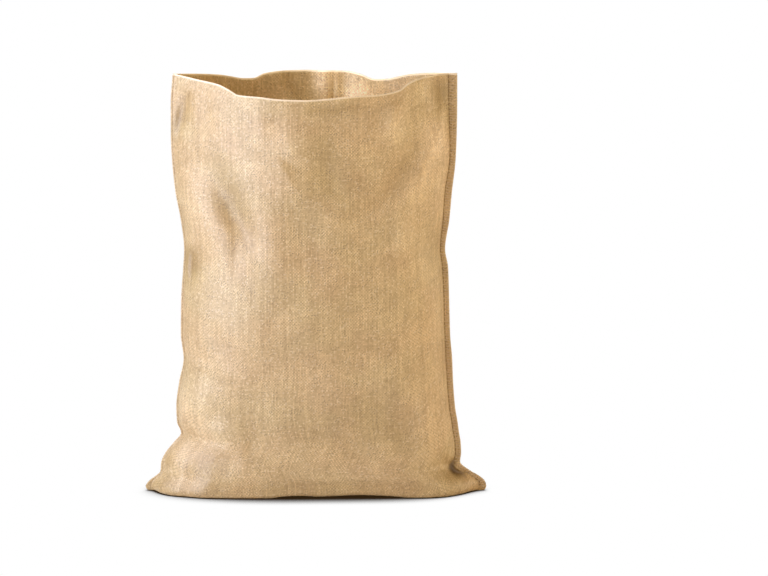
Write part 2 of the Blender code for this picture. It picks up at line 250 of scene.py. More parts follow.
# Where the outer face lies on the baked picture, and the inner face with the cut edges: the size
# and the lower corner of each part.
BAKE_OUTER = ((0.998, 0.768), (0.001, 0.230))
BAKE_INNER = ((0.998, 0.220), (0.001, 0.002))

SIDE = {"front": -1.0, "back": 1.0}

# Density of the fine mesh
WALL_COLUMNS = {"front": 140, "back": 96}
END_CROWDING = 0.35  # how much closer than even the columns are at a wall's ends
STRIP_COLUMNS = 4  # columns across the doubled cloth of the side seam
FOLD_COLUMNS = 3  # columns across the flat strip beside the fold
TURN_COLUMNS = 4  # columns around the fold, each side of its tip
WALL_ROWS = 160  # rows from the mouth down to the turn of the base
ROW_CROWDING = 0.12  # how much closer than even the rows are at the foot
EDGE_ROWS = 6
BASE_ROWS = 8
BASE_CROWDING = 1.6  # above 1, the rows of the base crowd towards the bottom seam
HEM_ROWS = 4  # rows across the allowance of the bottom seam
BASE_EDGE = 0.009  # radius of the turn from wall to base
TIP_TUCK = 0.006  # how far the tips of the base's corners curl in, under the sack
TIP_LENGTH = 0.060  # how far from its end a corner's tip reaches
HEM = 0.011  # allowance of the bottom seam, turned flat under the base
HEM_RISE = 2.0 * PLY + PLY_GAP  # how far the seam's allowance lifts the back half of the base
HEM_RAMP = 4.0 * HEM  # the base starts to rise over the seam's allowance this far from it


# ---- Reading the tables

def smooth_step(values, start, end):
    """Rise smoothly from 0 at start to 1 at end."""
    share = np.clip((values - start) / (end - start), 0.0, 1.0)
    return share * share * (3.0 - 2.0 * share)


def curve(places, heights):
    """A smooth curve through points, which never overshoots them."""
    gaps = np.diff(places)
    chords = np.diff(heights) / gaps
    slopes = np.zeros_like(heights)
    slopes[0], slopes[-1] = chords[0], chords[-1]
    product = chords[:-1] * chords[1:]
    total = np.where(product > 0.0, chords[:-1] + chords[1:], 1.0)
    slopes[1:-1] = np.where(product > 0.0, 2.0 * product / total, 0.0)

    def read(values):
        values = np.clip(values, places[0], places[-1])
        row = np.clip(np.searchsorted(places, values) - 1, 0, len(gaps) - 1)
        share = (values - places[row]) / gaps[row]
        square, cube = share ** 2, share ** 3
        return ((2.0 * cube - 3.0 * square + 1.0) * heights[row]
                + (cube - 2.0 * square + share) * gaps[row] * slopes[row]
                + (3.0 * square - 2.0 * cube) * heights[row + 1]
                + (cube - square) * gaps[row] * slopes[row + 1])

    return read


def curves(rows):
    """A curve for each of a table's columns, along its first column."""
    places, *columns = np.array(rows).T
    return {name: curve(places, column) for name, column in zip(rows[0]._fields[1:], columns)}


level, sway, sole = curves(LEVELS), curves(SWAY), curves(BASE_OUTLINE)
rim_drop, base_lift = curves(RIM_DROP), curves(BASE_LIFT)


def middle(share, height):
    """Y of the sheet between the two walls."""
    left, right = sway["left"](height), sway["right"](height)
    return left + (right - left) * (share + 1.0) / 2.0


def die_out(share, edge):
    """1 over a wall, falling to 0 at its edges over a share of the half wall."""
    return smooth_step(1.0 - np.abs(share), 0.0, edge)


def fold_depth(wall, share, across, height):
    """How far the folds push these points of a wall inwards."""
    total = np.zeros_like(height)
    for fold in FOLDS[wall]:
        lean = math.radians(fold.lean)
        right, up = across - fold.across, height - fold.height
        along = up * math.cos(lean) + right * math.sin(lean)
        aside = right * math.cos(lean) - up * math.sin(lean)
        total += fold.depth * np.exp(-(aside / fold.half_width) ** 2 - (along / fold.half_length) ** 2)
    return total * die_out(share, FLANK_SHARE)


def crease_path(places):
    """A smooth line through a crease's points, in metres."""
    corners = np.reshape(places, (-1, 2)) / MM
    steps = np.linspace(0.0, len(corners) - 1.0, CREASE_STEPS + 1)
    return np.stack([curve(np.arange(len(corners)), line)(steps) for line in corners.T], axis=1)


CREASES = {wall: [(depth / MM, half_width / MM, crease_path(places)) for depth, half_width, *places in rows]
           for wall, rows in (("front", FRONT_CREASES), ("back", BACK_CREASES))}


def crease_depth(wall, across, height):
    """How far the creases push these points of a wall inwards. A crease has low shoulders."""
    points = np.stack([across, height], axis=1)[:, None]
    total = np.zeros_like(height)
    for depth, half_width, path in CREASES[wall]:
        starts, steps = path[:-1], np.diff(path, axis=0)
        from_start = points - starts
        share = np.clip((from_start * steps).sum(-1) / (steps ** 2).sum(-1), 0.0, 1.0)
        apart = np.linalg.norm(from_start - steps * share[..., None], axis=-1)
        nearest = np.arange(len(points)), apart.argmin(1)
        distance, along = apart[nearest], (nearest[1] + share[nearest]) / CREASE_STEPS
        fade = np.sin(math.pi * along)
        aside = (distance / half_width) ** 2
        total += depth * fade * (1.0 - SHOULDER * aside) * np.exp(-SHOULDER_END * aside)
    return total


def wall_depth(wall, share, height, across):
    """Half the sack's depth beyond the flat strips. Troughs never take all of it: the deeper they
    cut, the less each adds, so that LEAST_SHARE is left."""
    rest = np.clip(1.0 - np.abs(share) ** level["square"](height), 0.0, 1.0)
    body = rest ** level["taper"](height)
    foot = sole[wall](share) / sole[wall](0.0)
    outline = foot + (body - foot) * smooth_step(height, 0.0, EAR_TOP)
    depth = level[wall](height) * outline
    creases = crease_depth(wall, across, height) * die_out(share, CREASE_SHARE)
    cut = (fold_depth(wall, share, across, height) + creases) / np.maximum(depth, 1e-6)
    room = 1.0 - LEAST_SHARE
    soft = LEAST_SHARE + room * np.exp(-np.maximum(cut, 0.0) / room) - np.minimum(cut, 0.0)
    return depth * soft


# ---- The cloth's outer face, as a grid: columns run once around the sack, from the front layer's
# ---- raw edge at the side seam, past the fold, to the back layer's. Rows run down from the mouth.

Column = namedtuple("Column", "wall kind share")


def ring_columns():
    """Every column's wall, kind (strip, wall, flat or turn) and share of the way along it."""
    halves = []
    for wall, count in WALL_COLUMNS.items():
        even = 1.0 - 2.0 * np.arange(count + 1) / count
        shares = even + (np.sin(math.pi / 2.0 * even) - even) * END_CROWDING
        kinds = (("strip", 1.0 - np.arange(STRIP_COLUMNS) / STRIP_COLUMNS), ("wall", shares),
                 ("flat", np.arange(1, FOLD_COLUMNS + 1) / FOLD_COLUMNS),
                 ("turn", np.arange(1, TURN_COLUMNS + 1) / TURN_COLUMNS))
        halves.append([Column(wall, kind, share) for kind, shares in kinds for share in shares])
    front, back = halves
    return front + back[-2::-1]


def marked_columns():
    """Index of the front wall's middle column, of the fold's tip and of the back wall's middle."""
    fold = STRIP_COLUMNS + WALL_COLUMNS["front"] + FOLD_COLUMNS + TURN_COLUMNS
    back = fold + TURN_COLUMNS + FOLD_COLUMNS + WALL_COLUMNS["back"] // 2
    return STRIP_COLUMNS + WALL_COLUMNS["front"] // 2, fold, back


def column_place(column, height):
    """Across and depth of a column's outer face at each height, and its share of the wall."""
    left, right = level["left"](height), level["right"](height)
    wall_left = left + level["fold"](height)
    stitch = right - level["seam"](height)
    flat = np.full_like(height, PLY)
    if column.kind == "strip":
        return stitch + (right - stitch) * column.share, flat, 1.0
    if column.kind == "flat":
        return wall_left + (left + PLY - wall_left) * column.share, flat, -1.0
    if column.kind == "turn":
        turn = math.pi / 2.0 * column.share
        return left + PLY * (1.0 - math.sin(turn)), flat * math.cos(turn), -1.0
    across = wall_left + (stitch - wall_left) * (column.share + 1.0) / 2.0
    return across, PLY + wall_depth(column.wall, column.share, height, across), column.share


def spots(*lines):
    """Points from their x, y and z. One value can stand for all points."""
    return np.stack(np.broadcast_arrays(*lines), axis=1)


def wall_points(column, height):
    """Points of a column's outer face, on the wall."""
    across, depth, share = column_place(column, height)
    drop = rim_drop[column.wall](share) * smooth_step(height, RIM_FADE, MOUTH_HEIGHT)
    lift = base_lift[column.wall](share) * smooth_step(LIFT_REACH - height, 0.0, LIFT_REACH)
    return spots(across, middle(share, height) + SIDE[column.wall] * depth, height - drop + lift)


def base_points(column, foot):
    """The same column's turn from wall to base, its way in to the bottom seam, and the seam's
    allowance, which lies flat under the back half of the base."""
    seam = float(middle(0.0, 0.0))
    side = SIDE[column.wall]
    foot_end = max(-LEVELS[0].left, LEVELS[0].right)
    tuck = math.copysign(TIP_TUCK, foot[0]) * smooth_step(abs(foot[0]), foot_end - TIP_LENGTH, foot_end)
    back = 0.5 + side * 0.5 * (1.0 - column.share if column.kind == "turn" else 1.0)
    lift = max(foot[2] - BASE_EDGE, 0.0)
    radius = min(BASE_EDGE, 0.5 * side * (foot[1] - seam))
    turn = math.pi / 2.0 * np.arange(1, EDGE_ROWS + 1) / EDGE_ROWS
    inward = 1.0 - np.cos(turn)
    rise = lift + BASE_EDGE * (1.0 - np.sin(turn))
    edge = spots(foot[0] - tuck * inward, foot[1] - side * radius * inward, rise)
    across, reach = edge[-1, 0], abs(edge[-1, 1] - seam)
    share = 1.0 - (1.0 - np.arange(1, BASE_ROWS + 1) / BASE_ROWS) ** BASE_CROWDING
    left_to_go = reach * (1.0 - share)
    settled = smooth_step(LIFT_REACH - reach * share, 0.0, LIFT_REACH)
    ramp = smooth_step(-left_to_go, -HEM_RAMP, -HEM)
    rise = np.maximum(lift * settled * (1.0 - share), back * HEM_RISE * ramp)
    away = HEM * np.arange(1, HEM_ROWS + 1) / HEM_ROWS
    return np.concatenate([edge, spots(across, seam + side * left_to_go, rise),
                           spots(across, seam + away, back * (HEM_RISE - PLY_GAP))])


def outer_grid(columns):
    """The outer face before its small unevenness: an array of columns by rows by x, y, z."""
    even = np.arange(WALL_ROWS + 1) / WALL_ROWS
    crowded = even + ROW_CROWDING * np.sin(math.pi * even) / math.pi
    heights = MOUTH_HEIGHT + (BASE_EDGE - MOUTH_HEIGHT) * crowded
    grid = []
    for column in columns:
        wall = wall_points(column, heights)
        grid.append(np.concatenate([wall, base_points(column, wall[-1])]))
    return np.array(grid), heights


def painted_shade_depths(columns, heights, rows):
    """How much painted shade each point gets, given as the depth of a crease whose painted shade is as
    dark, less than 0 for painted light on a ridge: for the outer face, and for the inner face, where creases
    and ridges change places."""
    creases = np.zeros((len(columns), rows))
    # Painted shade of the foot, darker near the floor
    extra = np.full_like(creases, FOOT_SHADE)
    extra[:, :len(heights)] *= smooth_step(FOOT_SHADE_TOP - heights, 0.0, FOOT_SHADE_FADE)
    for index, column in enumerate(columns):
        across, _, share = column_place(column, heights)
        folds = FOLD_SHADE_SHARE * fold_depth(column.wall, share, across, heights)
        creases[index, :len(heights)] = crease_depth(column.wall, across, heights) + folds
        # Painted shade in the valley beside the side seam
        if column.kind == "wall" and column.share == 1.0:
            extra[index, :len(heights)] += SEAM_VALLEY_SHADE * smooth_step(heights, 0.5 * EAR_TOP, EAR_TOP)
    return creases + extra, -INNER_SHADE_CONTRAST * creases


def unit(vectors, least=1e-12):
    """The same vectors with a length of 1, or shorter if they are shorter than `least`."""
    return vectors / np.maximum(np.linalg.norm(vectors, axis=-1, keepdims=True), least)


def grid_normals(grid):
    """Unit normals of the outer face, pointing out. Where the cloth is pinched to nothing, a point
    borrows its neighbours' normal."""
    normals = np.cross(*np.gradient(grid, axis=(0, 1)))
    size = np.linalg.norm(normals, axis=2, keepdims=True)
    weight = np.clip(size / PINCHED, 0.0, 1.0)
    normals = normals / np.maximum(size, 1e-12) * weight
    for _ in range(2):
        padded = np.pad(normals, ((1, 1), (1, 1), (0, 0)), mode="edge")
        around = (padded[:-2, 1:-1] + padded[2:, 1:-1] + padded[1:-1, :-2] + padded[1:-1, 2:]) / 4.0
        normals = np.where(weight < 0.5, around, normals)
    return unit(normals)


def lengths_along(points, axis=0):
    """Length of the way to each point, along one axis of an array of points."""
    lengths = np.cumsum(np.linalg.norm(np.diff(points, axis=axis), axis=-1), axis=axis)
    return np.concatenate([np.zeros_like(np.take(lengths, [0], axis)), lengths], axis)


def blurred(values, axis, sigma):
    """Values smoothed along one axis with a bell of sigma cells."""
    reach = int(3 * sigma)
    bell = np.exp(-0.5 * (np.arange(-reach, reach + 1) / sigma) ** 2)
    bell /= bell.sum()
    pad = [(0, 0), (0, 0)]
    pad[axis] = (reach, reach)
    padded = np.pad(values, pad, mode="reflect", reflect_type="odd")
    return np.apply_along_axis(lambda line: np.convolve(line, bell, mode="valid"), axis, padded)


def even_yarns(lengths, cut):
    """Where points lie across one half of a wall, which is `cut` wide, from their arc length from
    the wall's middle (column 0). Yarns keep their pitch there and crowd or spread at the edge."""
    whole = lengths[-1:]
    share = lengths / whole
    pitch = np.clip(whole / cut, *YARN_CROWDING)
    return cut * (pitch * share + (1.0 - pitch) * share ** 3)


def flat_places(grid):
    """Where each point lies on the cut rectangle, in metres from the lower corner of the front
    layer's raw edge."""
    lengths, down = lengths_along(grid), lengths_along(grid, 1)
    front, fold, back = marked_columns()
    quarter = CLOTH_WIDTH / 4.0
    around = np.empty_like(lengths)
    for start, quarters, ends in ((front, 1.0, (0, fold)), (back, 3.0, (fold, len(grid) - 1))):
        for end, step in zip(ends, (-1, 1)):
            part = np.arange(start, end + step, step)
            across = even_yarns(np.abs(lengths[part] - lengths[start]), quarter)
            around[part] = quarters * quarter + step * across
    around = blurred(around, 1, YARN_BLUR[0])
    up = (1.0 - blurred(down / down[:, -1:], 0, YARN_BLUR[1])) * CLOTH_HEIGHT
    return around, up


def waves(swell, around, up):
    """A smooth random unevenness: many plane waves, added up."""
    random = np.random.default_rng(swell.seed)
    total = np.zeros_like(around)
    for _ in range(swell.count):
        length = swell.shortest * (swell.longest / swell.shortest) ** random.random()
        turn = math.pi * random.random()
        phase = 2.0 * math.pi * random.random()
        along = around * math.cos(turn) + up * math.sin(turn) / swell.upright
        total += np.cos(2.0 * math.pi * along / length + phase)
    return swell.height * (total * math.sqrt(2.0 / swell.count))


def uneven(grid, columns, around, up):
    """How far each point of the cloth stands out from the smooth wall."""
    wall = np.array([column.kind == "wall" for column in columns], float)
    share = np.array([column.share if column.kind == "wall" else 1.0 for column in columns])
    away_from_edges = (wall * die_out(share, SWELL_SHARE))[:, None]
    off_floor = smooth_step(grid[:, :, 2], *SWELL_FOOT)
    return sum(waves(swell, around, up) for swell in SWELLS) * away_from_edges * off_floor


def build_grid():
    """The outer face, its normals, its places on the flat cloth, and its painted shade on both faces."""
    columns = ring_columns()
    grid, heights = outer_grid(columns)
    around, up = flat_places(grid)
    grid = grid + grid_normals(grid) * uneven(grid, columns, around, up)[:, :, None]
    shade_depths = painted_shade_depths(columns, heights, grid.shape[1])
    return columns, grid, grid_normals(grid), around, up, shade_depths


# ---- Meshes

def inner_grid(columns, grid, normals):
    """The inner face, one thickness inside the outer one. It never crosses the middle sheet."""
    inner = grid - normals * CLOTH
    for index, column in enumerate(columns):
        if column.kind == "turn" and column.share == 1.0:
            continue
        share = {"wall": column.share, "strip": 1.0}.get(column.kind, -1.0)
        wall = slice(0, WALL_ROWS + 1)
        sheet = middle(share, grid[index, wall, 2])
        depth = SIDE[column.wall] * (inner[index, wall, 1] - sheet)
        inner[index, wall, 1] = sheet + SIDE[column.wall] * np.maximum(depth, PLY_GAP)
    return inner


def smooth_mesh(name, points, faces):
    """A mesh that is shaded smoothly, with its points moved to the part's own frame."""
    data = bpy.data.meshes.new(name)
    data.from_pydata((points - BOX_MIDDLE).tolist(), [], faces)
    data.validate()
    data.shade_smooth()
    return data


def add_map(data, name, places):
    """A UV map that puts each point of a mesh in its place."""
    corners = np.empty(len(data.loops), dtype=np.int64)
    data.loops.foreach_get("vertex_index", corners)
    layer = data.uv_layers.new(name=name)
    layer.uv.foreach_set("vector", places[corners].astype(np.float32).ravel())


def add_values(data, name, values):
    """A number for each point of a mesh, which its material can read."""
    layer = data.attributes.new(name, "FLOAT", "POINT")
    layer.data.foreach_set("value", values.astype(np.float32))


def sheet_mesh(name, outer, inner, around, up, shade_depths):
    """A closed mesh of cloth with rounded cut edges between its outer and inner face."""
    wide, high = outer.shape[:2]
    count = wide * high
    number = np.arange(count).reshape(wide, high)
    quads = np.stack([number[:-1, :-1], number[:-1, 1:], number[1:, 1:], number[1:, :-1]], axis=2)
    quads = quads.reshape(-1, 4)
    border, inside = (np.concatenate([number[:, step], number[-1 - step, 1:], number[-2::-1, -1 - step],
                                      number[step, -2:0:-1]]) for step in (0, 1))
    outer, inner = outer.reshape(-1, 3), inner.reshape(-1, 3)
    edge = (outer[border] + inner[border]) / 2.0
    outward = unit(edge - (outer[inside] + inner[inside]) / 2.0, 1e-9)
    rim = 2 * count + np.arange(len(border))
    after = np.roll(np.arange(len(border)), -1)
    outer_rim = np.stack([border, border[after], rim[after], rim], axis=1)
    inner_rim = np.stack([rim, rim[after], border[after] + count, border + count], axis=1)
    points = np.concatenate([outer, inner, edge + outward * CLOTH * CUT_ROUND])
    faces = np.concatenate([quads, quads[:, ::-1] + count, outer_rim, inner_rim])
    data = smooth_mesh(name, points, faces.tolist())
    flat = np.stack([around.ravel(), up.ravel()], axis=1)
    flat = np.concatenate([flat, flat, flat[border]])
    add_map(data, "cloth", flat)
    baked = [flat / (CLOTH_WIDTH, CLOTH_HEIGHT) * size + corner for size, corner in (BAKE_OUTER, BAKE_INNER)]
    add_map(data, "OFBake", np.where((np.arange(len(points)) < count)[:, None], *baked))
    add_values(data, "painted_shade", np.concatenate([shade_depths[0].ravel(), shade_depths[1].ravel(), np.zeros(len(border))]))
    add_values(data, "inside", np.repeat([0.0, 1.0, 0.0], (count, count, len(border))))
    return data


# ---- Stitches: a needle row along the side seam's stitch line, an overedge twine wound around its
# ---- raw edges, and a row through the turned allowance under the base

THREAD = 0.0008  # radius of the needle twine
WHIP = 0.0008  # radius of the overedge twine
THREAD_SIDES = 6
TIP_SHARE = 0.7  # how far a thread's end bulges, in radii
OFF_AXIS = (0.31, 0.52, 0.79)  # any direction that no thread starts in
WHIP_PITCH = 0.0052  # from one turn of the overedge twine to the next
WHIP_STEPS = 16  # points on each turn
NEEDLE_STITCH = 0.0075  # length of one stitch of the needle row
NEEDLE_GAP = 0.0015
NEEDLE_IN = 0.0006  # how far outside the strip's inner border the needle row runs
NEEDLE_START = 4  # steps of the seam above its first stitch
SEAM_FOOT = 0.004  # lowest point of the side seam's stitches
SEAM_STEP = 0.0005
SEAM_SAMPLES = 4000  # points that the seam's length is measured with
SEAM_WIDTH = (0.008, 0.017)  # least and most width of the strip, as far as the stitches go
ROW_END = 0.012  # bare ends of the row under the base
WHIP_REACH = 0.46  # half the width of the overedge turns, as a share of the strip's
WHIP_SLIP = 2.0  # unevenness of the turns along the seam, in steps, and of their reach
WHIP_STRAY = 0.0004
WHIP_BEND = (0.7, 0.45)  # how round its turns are across the strip and out from it: 1 is an oval
WHIP_CLEAR = (WHIP * 0.4, WHIP * 0.25)  # how far the twine's middle clears the cloth that way
NEEDLE_PROUD = (0.4, 1.6)  # how far a stitch stands out and how much of that it sinks, in radii
BASE_PROUD = (0.75, 0.9)  # the same under the base, up from the floor
BASE_ROW = 0.35 * HEM  # how far behind the bottom seam its row runs


def tube(points, radius):
    """Points and faces of a round thread along a path, closed at both ends."""
    ahead = unit(np.gradient(points, axis=0))
    side = np.zeros_like(points)
    side[0] = unit(np.cross(ahead[0], OFF_AXIS))
    for index in range(1, len(points)):
        side[index] = unit(side[index - 1] - ahead[index] * side[index - 1].dot(ahead[index]))
    other = np.cross(ahead, side)
    angles = 2.0 * math.pi * np.arange(THREAD_SIDES) / THREAD_SIDES
    ring = np.cos(angles)[None, :, None] * side[:, None] + np.sin(angles)[None, :, None] * other[:, None]
    body = (points[:, None] + ring * radius).reshape(-1, 3)
    tips = np.stack([points[0] - ahead[0] * radius * TIP_SHARE, points[-1] + ahead[-1] * radius * TIP_SHARE])
    number = np.arange(len(body)).reshape(len(points), THREAD_SIDES)
    after = np.roll(number, -1, axis=1)
    quads = np.stack([number[:-1], after[:-1], after[1:], number[1:]], axis=2).reshape(-1, 4).tolist()
    turns = range(THREAD_SIDES)
    caps = [(len(body), int(after[0, i]), int(number[0, i])) for i in turns]
    caps += [(len(body) + 1, int(number[-1, i]), int(after[-1, i])) for i in turns]
    return np.concatenate([body, tips]), quads + caps


def between(rows, at, places):
    """Rows of three numbers, read off at other places than their own."""
    return spots(*(np.interp(at, places, line) for line in rows.T))


def seam_line():
    """The side seam's raw edge from the mouth to the foot, in even steps: its points, the way
    inwards across the strip, and the strip's width measured that way."""
    height = np.linspace(MOUTH_HEIGHT, SEAM_FOOT, SEAM_SAMPLES)
    edge = spots(level["right"](height), middle(1.0, height), height)
    lengths = lengths_along(edge)
    edge = between(edge, np.arange(0.0, lengths[-1], SEAM_STEP), lengths)
    along = unit(np.gradient(edge, axis=0))
    inward = np.cross(along, (0.0, 1.0, 0.0))
    inward *= np.sign(-inward[:, :1] + 1e-9)
    width = level["seam"](edge[:, 2]) * np.abs(along[:, 2])
    return edge, inward, np.clip(width, *SEAM_WIDTH)


def wobble(seed, count, size, length):
    """Smooth uneven offsets for the points of a hand-guided seam."""
    random = np.random.default_rng(seed)
    knots = np.arange(0, count + length, length)
    return np.interp(np.arange(count), knots, random.normal(0.0, size, len(knots)))


def overedge(edge, inward, width):
    """The twine wound over the raw edges, in turns that lean and vary a little."""
    turns = int(len(edge) * SEAM_STEP / WHIP_PITCH)
    steps = turns * WHIP_STEPS
    at = np.linspace(0.0, len(edge) - 1.0, steps + 1)
    at = np.clip(at + wobble(5, steps + 1, WHIP_SLIP, WHIP_STEPS), 0.0, len(edge) - 1.0)
    places = np.arange(len(edge))
    centre, way_in = between(edge, at, places), between(inward, at, places)
    reach = np.interp(at, places, width) * WHIP_REACH + wobble(6, steps + 1, WHIP_STRAY, WHIP_STEPS)
    turn = 2.0 * math.pi * np.arange(steps + 1) / WHIP_STEPS
    across, out = (np.sign(wave) * np.abs(wave) ** bend
                   for wave, bend in zip((np.cos(turn), np.sin(turn)), WHIP_BEND))
    centre = centre + way_in * reach[:, None] - way_in * (across * (reach + WHIP_CLEAR[0]))[:, None]
    centre[:, 1] += out * (PLY + WHIP_CLEAR[1])
    return centre


def sunk(count):
    """How far a stitch sinks into the cloth, 1 at its ends."""
    return np.abs(np.linspace(-1.0, 1.0, count)) ** 4


def needle_row(edge, inward, width, side):
    """Separate stitches along the stitch line, on one face of the strip."""
    line = edge + inward * (width - NEEDLE_IN)[:, None]
    stitch, gap = int(NEEDLE_STITCH / SEAM_STEP), int(NEEDLE_GAP / SEAM_STEP)
    threads = []
    for start in range(NEEDLE_START, len(line) - stitch, stitch + gap):
        points = line[start:start + stitch + 1:3].copy()
        points[:, 1] += side * (PLY + THREAD * (NEEDLE_PROUD[0] - NEEDLE_PROUD[1] * sunk(len(points))))
        threads.append(tube(points, THREAD))
    return threads


def base_row():
    """Stitches through the turned allowance of the bottom seam, seen from below."""
    foot = LEVELS[0]
    threads = []
    last = foot.right - ROW_END - NEEDLE_STITCH
    for start in np.arange(foot.left + ROW_END, last, NEEDLE_STITCH + NEEDLE_GAP):
        across = start + np.linspace(0.0, NEEDLE_STITCH, 6)
        depth = middle(2.0 * (across - foot.left) / (foot.right - foot.left) - 1.0, 0.0)
        rise = THREAD * (BASE_PROUD[0] + BASE_PROUD[1] * sunk(len(across)))
        threads.append(tube(spots(across, depth + BASE_ROW, rise), THREAD))
    return threads


def thread_mesh(name, threads):
    """One mesh of several threads."""
    points, faces, count = [], [], 0
    for some, corners in threads:
        points.append(some)
        faces += [tuple(index + count for index in corner) for corner in corners]
        count += len(some)
    return smooth_mesh(name, np.concatenate(points), faces)


def add_piece(name, data, material):
    """An object with one material, put in the scene."""
    piece = bpy.data.objects.new(name, data)
    scene.collection.objects.link(piece)
    data.materials.append(material)
    return piece


# ---- Materials

class Net:
    """The shader nodes of a material or of the world. Inputs take a value, or a node's output."""

    def __init__(self, owner, shader="Principled BSDF"):
        owner.use_nodes = True
        self.owner = owner
        self.tree = owner.node_tree
        self.shader = self.tree.nodes[shader]

    def fill(self, node, inputs):
        for key, value in inputs.items():
            if isinstance(value, bpy.types.NodeSocket):
                self.tree.links.new(value, node.inputs[key])
            else:
                node.inputs[key].default_value = value

    def node(self, kind, inputs=None, **settings):
        made = self.tree.nodes.new("ShaderNode" + kind)
        for key, value in settings.items():
            setattr(made, key, value)
        self.fill(made, inputs or {})
        return made

    def math(self, operation, *values, clamp=False):
        return self.node("Math", dict(enumerate(values)), operation=operation, use_clamp=clamp).outputs[0]

    def add(self, total, *values):
        for value in values:
            total = self.math("ADD", total, value)
        return total

    def minus(self, first, second, clamp=False):
        return self.math("SUBTRACT", first, second, clamp=clamp)

    def times(self, first, second):
        return self.math("MULTIPLY", first, second)

    def remap(self, value, low, high, to_low=0.0, to_high=1.0):
        limits = dict(enumerate((value, low, high, to_low, to_high)))
        return self.node("MapRange", limits, interpolation_type="SMOOTHSTEP").outputs[0]

    def vector(self, *values):
        return self.node("CombineXYZ", dict(enumerate(values))).outputs[0]

    def split(self, vector):
        return self.node("SeparateXYZ", {0: vector}).outputs

    def noise(self, place, scale=1.0, detail=2.0, roughness=0.5):
        inputs = {"Vector": place, "Scale": scale, "Detail": detail, "Roughness": roughness}
        return self.node("TexNoise", inputs).outputs["Fac"]

    def random(self, number):
        return self.node("TexWhiteNoise", {"W": number}, noise_dimensions="1D").outputs["Value"]

    def random_cell(self, x, y):
        cell = self.vector(self.math("FLOOR", x), self.math("FLOOR", y))
        return self.node("TexWhiteNoise", {"Vector": cell}, noise_dimensions="2D").outputs["Value"]

    def mix(self, share, first, second, blend="MIX"):
        """A mix of two colours: the node's inputs 6 and 7, and its output 2."""
        made = self.node("Mix", {"Factor": share, 6: first, 7: second}, data_type="RGBA", blend_type=blend)
        return made.outputs[2]

    def tint(self, colour, by, share=1.0):
        return self.mix(share, colour, by, blend="MULTIPLY")

    def attribute(self, name):
        return self.node("Attribute", attribute_name=name).outputs["Fac"]

    def finish(self, colour, height, strength, distance, **look):
        """The material, with its colour, its bumps and the shader's other inputs."""
        bump = self.node("Bump", {"Strength": strength, "Distance": distance, "Height": height})
        inputs = {key.replace("_", " "): value for key, value in look.items()}
        self.fill(self.shader, {"Base Color": colour, "Normal": bump.outputs[0], **inputs})
        return self.owner


WARP_PITCH = 0.0030  # from one upright yarn to the next
WEFT_PITCH = 0.0034  # from one level yarn to the next
WARP_SLUB = 9.0  # length of a thick or thin stretch of a yarn, in crossings
WEFT_SLUB = 8.0
YARN_WANDER = 0.0016  # how far yarns stray from their straight line
DARK_JUTE = (0.42, 0.27, 0.108, 1.0)
LIGHT_JUTE = (0.84, 0.645, 0.355, 1.0)
PALE_JUTE = (1.0, 0.86, 0.62, 1.0)
GAP_SHADE = (0.20, 0.115, 0.045, 1.0)
OLIVE_TONE = (0.985, 1.0, 0.98, 1.0)  # the cloth's colour wanders between these two tints
ROSY_TONE = (1.015, 0.985, 0.98, 1.0)
INNER_SHADE_TINT = (1.06, 1.02, 0.82, 1.0)  # painted shade: the inner face is tinted yellower, as the light inside the sack is warmer
RIM_HIGHLIGHT = (0.95, 0.79, 0.56, 1.0)  # painted highlight along the mouth's cut edge
RIM_HIGHLIGHT_LINE = (CLOTH_HEIGHT - 0.0036, CLOTH_HEIGHT - 0.0016)  # where it sets in, up the cloth
SEAM_TINT = (0.88, 0.75, 0.53, 1.0)  # tint that darkens and yellows the side seam's strip a little
SEAM_LINE = (CLOTH_WIDTH / 2.0 - 0.017, CLOTH_WIDTH / 2.0 - 0.015)  # where that sets in

# Shares of a crossing's shade, which runs from DARK_JUTE at 0 to LIGHT_JUTE at 1: the warp yarn's
# own shade, its slubs, the weft's slubs, wide patches, and the crossing's own. SHADE_FLOOR is
# taken off their sum.
SHADE_SHARES = (0.20, 0.36, 0.38, 0.20, 0.39)
SHADE_FLOOR = 0.437
WARP_PAINTED_LIGHT = (0.10, 0.42)  # painted light: how much lighter the warp is painted than the weft where it lies on top, from place to place, as the side light catches it

SHEEN = (1.0, 0.93, 0.82, 1.0)
YARN_HALF = (0.36, 0.52)  # half width of a yarn, from thin to thick, in pitches
GAP_HEIGHT = (0.10, 0.60)  # heights of the yarns between which the gaps beside them fade out
LOOSE_SEAM = 0.5  # how much looser the weave is along the raw edges
SEAM_SHARE = 0.15  # how strong the tint of the strip is
FLECKS = (0.88, 0.95)  # crossings whose own number is higher are pale flecks
FLECK_SHARE = 0.3

# Pinholes between the yarns, in crossings: their radius from the tightest to the loosest corner, what
# loose weave adds to it, how soft their edge is, and how dark they are.
HOLE_RADIUS = (-0.35, 0.24)
HOLE_LOOSE = 0.18
HOLE_EDGE = 0.06
HOLE_SHARE = 0.7

# Painted shade: cloth that lies a depth into a crease is painted darker by exp(-rate * depth), and on a
# ridge it is painted as much lighter. Rates of red, green and blue, for depths in metres.
PAINTED_SHADE_RATES = (16.5, 20.5, 33.0)


def yarn_set(net, cross, along, slub_length, seed):
    """One set of parallel yarns: their round profile, the side they start on, and their slubs."""
    number = net.math("FLOOR", cross)
    own = net.random(net.add(number, seed))
    slub = net.noise(net.vector(net.times(number, 7.31), net.math("DIVIDE", along, slub_length), seed),
                       roughness=0.6)
    width = net.remap(slub, 0.30, 0.72, *YARN_HALF)
    offset = net.math("DIVIDE", net.minus(net.math("FRACT", cross), 0.5), width)
    profile = net.math("SQRT", net.minus(1.0, net.math("POWER", offset, 2.0), clamp=True))
    sign = net.minus(1.0, net.times(net.math("FLOORED_MODULO", number, 2.0), 2.0))
    return profile, sign, own, slub


